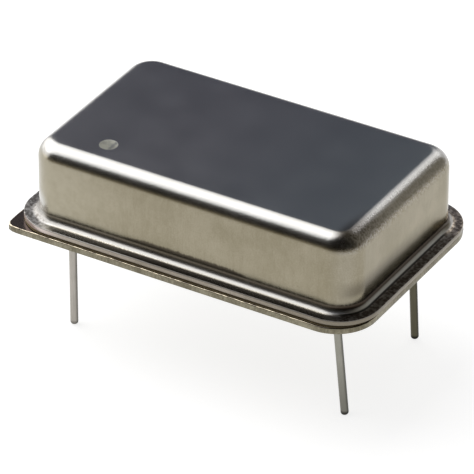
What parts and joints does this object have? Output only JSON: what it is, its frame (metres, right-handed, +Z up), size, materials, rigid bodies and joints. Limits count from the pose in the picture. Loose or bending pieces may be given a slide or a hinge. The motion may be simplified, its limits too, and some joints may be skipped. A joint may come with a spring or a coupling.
{
  "type": "crystal oscillator",
  "caption": "Clock oscillator in a drawn nickel-plated can on a flat header, standing on round leads set in a rectangle.",
  "frame": {"origin": "middle of the lead pattern, on the underside of the header", "axes": "+X along the long side, +Z up through the can, leads along -Z, lead 1 and the header's square corner at -X -Y"},
  "size_m": [0.0201, 0.0126, 0.0111],
  "materials": {
    "nickel_cover": "satin",
    "nickel_header": "satin",
    "plated_lead": "satin",
    "seal_glass": "gloss",
    "braze": "satin",
    "epoxy": "matte",
    "alumina": "matte",
    "printed_conductor": "satin",
    "printed_resistor": "matte",
    "solder": "satin",
    "clip_nickel": "satin",
    "quartz": "gloss",
    "electrode_silver": "polished",
    "silver_epoxy": "matte",
    "silicon": "gloss",
    "gold_wire": "polished",
    "capacitor_ceramic": "matte",
    "capacitor_metal": "satin"
  },
  "bodies": {
    "root": {"cover": "nickel_cover", "header": "nickel_header", "lead_1": "plated_lead", "lead_7": "plated_lead", "lead_8": "plated_lead", "lead_14": "plated_lead", "seal_1": "seal_glass", "seal_8": "seal_glass", "seal_14": "seal_glass", "lead_7_braze": "braze", "substrate_bond": "epoxy", "substrate": "alumina", "track_1": "printed_conductor", "track_7": "printed_conductor", "track_8": "printed_conductor", "track_14": "printed_conductor", "track_crystal_a": "printed_conductor", "track_crystal_b": "printed_conductor", "feedback_resistor": "printed_resistor", "solder_1": "solder", "solder_7": "solder", "solder_8": "solder", "solder_14": "solder", "clip_a": "clip_nickel", "clip_b": "clip_nickel", "quartz_blank": "quartz", "electrode_top": "electrode_silver", "electrode_bottom": "electrode_silver", "cement_a": "silver_epoxy", "cement_b": "silver_epoxy", "chip_bond": "silver_epoxy", "oscillator_chip": "silicon", "bond_wires": "gold_wire", "bypass_capacitor": "capacitor_ceramic", "capacitor_end_a": "capacitor_metal", "capacitor_end_b": "capacitor_metal", "capacitor_solder_a": "solder", "capacitor_solder_b": "solder"}
  },
  "joints": []
}
